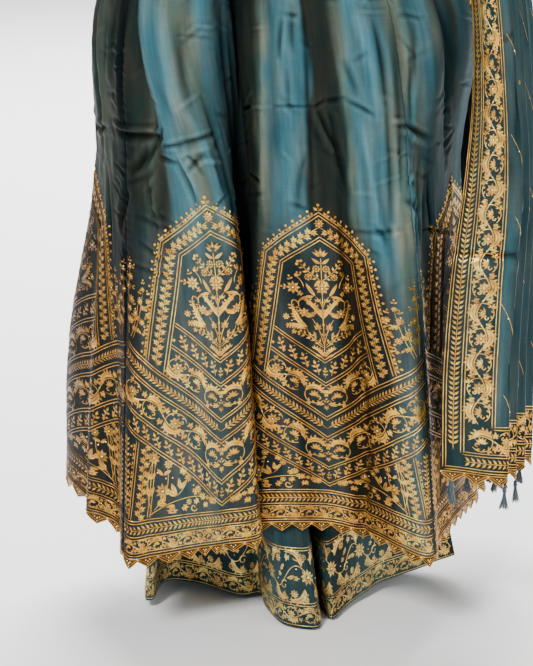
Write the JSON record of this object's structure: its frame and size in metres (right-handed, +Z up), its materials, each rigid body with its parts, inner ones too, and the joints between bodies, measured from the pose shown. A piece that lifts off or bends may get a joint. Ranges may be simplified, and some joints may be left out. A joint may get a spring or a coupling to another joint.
{
  "type": "anarkali suit",
  "caption": "Full-length flared gored kurta with elbow sleeves, worn over a wide palazzo, with a pleated dupatta hung over one shoulder and pointed gilt edging on the hems.",
  "frame": {"origin": "midway between the shoulders, at the level of the neck points, where the wearer carries the suit", "axes": "+Z up along the wearer's height, -Y to the wearer's front, +X to the wearer's left"},
  "size_m": [0.7397, 0.5777, 1.4573],
  "materials": {
    "kurta_silk": "lustrous shot silk, teal with a grey cross thread",
    "palazzo_silk": "lustrous silk",
    "dupatta_silk": "lustrous silk",
    "gilt_lace": "gilt thread",
    "tassel_silk": "matt silk thread"
  },
  "bodies": {
    "root": {"gore_1": "kurta_silk", "gore_2": "kurta_silk", "gore_3": "kurta_silk", "gore_4": "kurta_silk", "gore_5": "kurta_silk", "gore_6": "kurta_silk", "gore_7": "kurta_silk", "gore_8": "kurta_silk", "hem_lace_1": "gilt_lace", "hem_lace_2": "gilt_lace", "hem_lace_3": "gilt_lace", "hem_lace_4": "gilt_lace", "hem_lace_5": "gilt_lace", "hem_lace_6": "gilt_lace", "hem_lace_7": "gilt_lace", "hem_lace_8": "gilt_lace", "bodice_front": "kurta_silk", "bodice_back": "kurta_silk", "sleeve_left": "kurta_silk", "sleeve_right": "kurta_silk", "palazzo_right_front": "palazzo_silk", "palazzo_right_back": "palazzo_silk", "palazzo_left_front": "palazzo_silk", "palazzo_left_back": "palazzo_silk", "palazzo_waistband": "palazzo_silk", "dupatta_front_fall": "dupatta_silk", "dupatta_shoulder": "dupatta_silk", "dupatta_back_fall": "dupatta_silk", "dupatta_lace_front": "gilt_lace", "tassel_front_1": "tassel_silk", "tassel_front_2": "tassel_silk", "tassel_front_3": "tassel_silk", "tassel_front_4": "tassel_silk", "tassel_front_5": "tassel_silk", "tassel_front_6": "tassel_silk", "tassel_front_7": "tassel_silk", "tassel_front_8": "tassel_silk", "tassel_front_9": "tassel_silk", "tassel_front_10": "tassel_silk", "dupatta_lace_back": "gilt_lace", "tassel_back_1": "tassel_silk", "tassel_back_2": "tassel_silk", "tassel_back_3": "tassel_silk", "tassel_back_4": "tassel_silk", "tassel_back_5": "tassel_silk", "tassel_back_6": "tassel_silk", "tassel_back_7": "tassel_silk", "tassel_back_8": "tassel_silk", "tassel_back_9": "tassel_silk", "tassel_back_10": "tassel_silk"}
  },
  "joints": []
}
